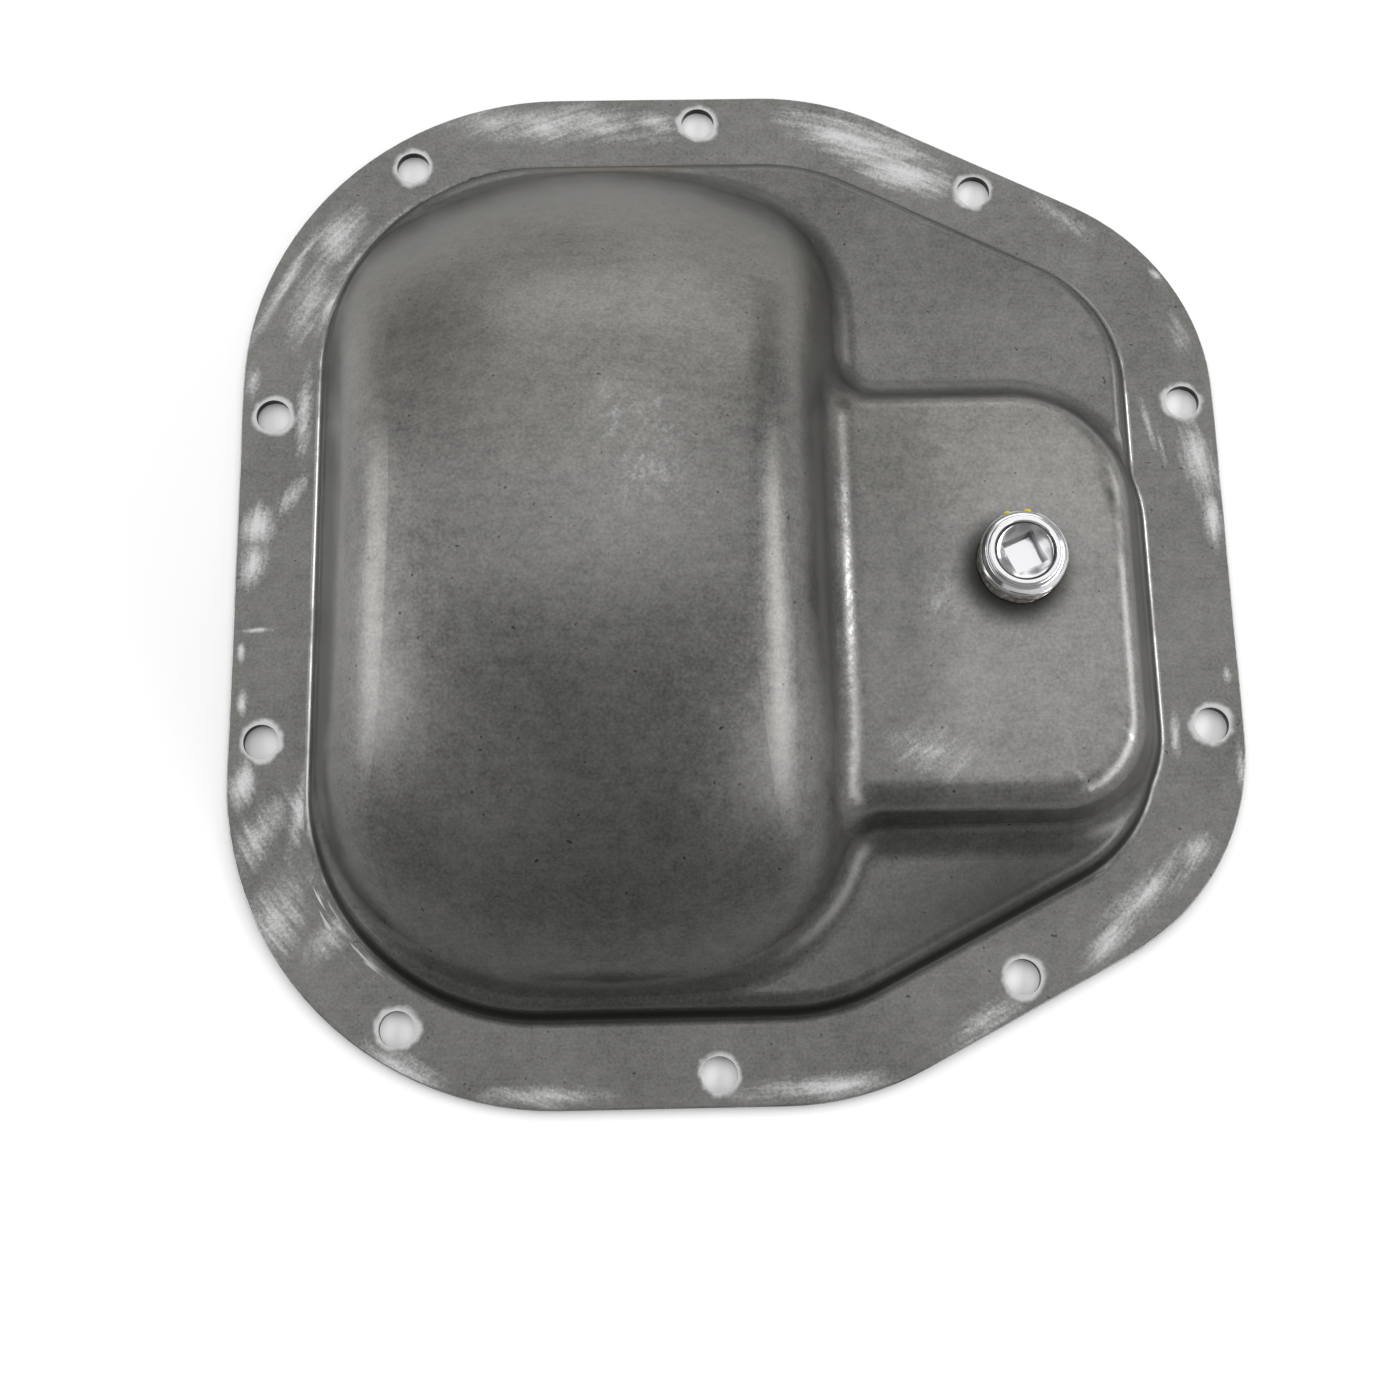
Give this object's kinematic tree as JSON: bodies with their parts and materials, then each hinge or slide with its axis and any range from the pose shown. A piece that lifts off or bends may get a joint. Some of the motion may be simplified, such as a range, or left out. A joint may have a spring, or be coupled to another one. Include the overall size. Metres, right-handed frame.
{
  "type": "axle differential cover",
  "caption": "Pressed steel cover for a drive axle: a flat bolt flange, a domed bulge for the ring gear, and a raised pad with a square-socket fill plug.",
  "frame": {"origin": "under the middle of the flange outline, on the gasket face", "axes": "+Z out of the dome, away from the axle; +X across the axle, from the dome towards the pad with the plug; +Y along the ring gear's rim"},
  "size_m": [0.29, 0.306, 0.0777],
  "materials": {
    "cover_steel": "bare satin sheet steel, rubbed bright in patches",
    "boss_steel": "turned steel, welded on",
    "plug_steel": "bright plated, worn at the base"
  },
  "bodies": {
    "root": {"cover": "cover_steel", "fill_boss": "boss_steel", "fill_plug": "plug_steel"}
  },
  "joints": []
}
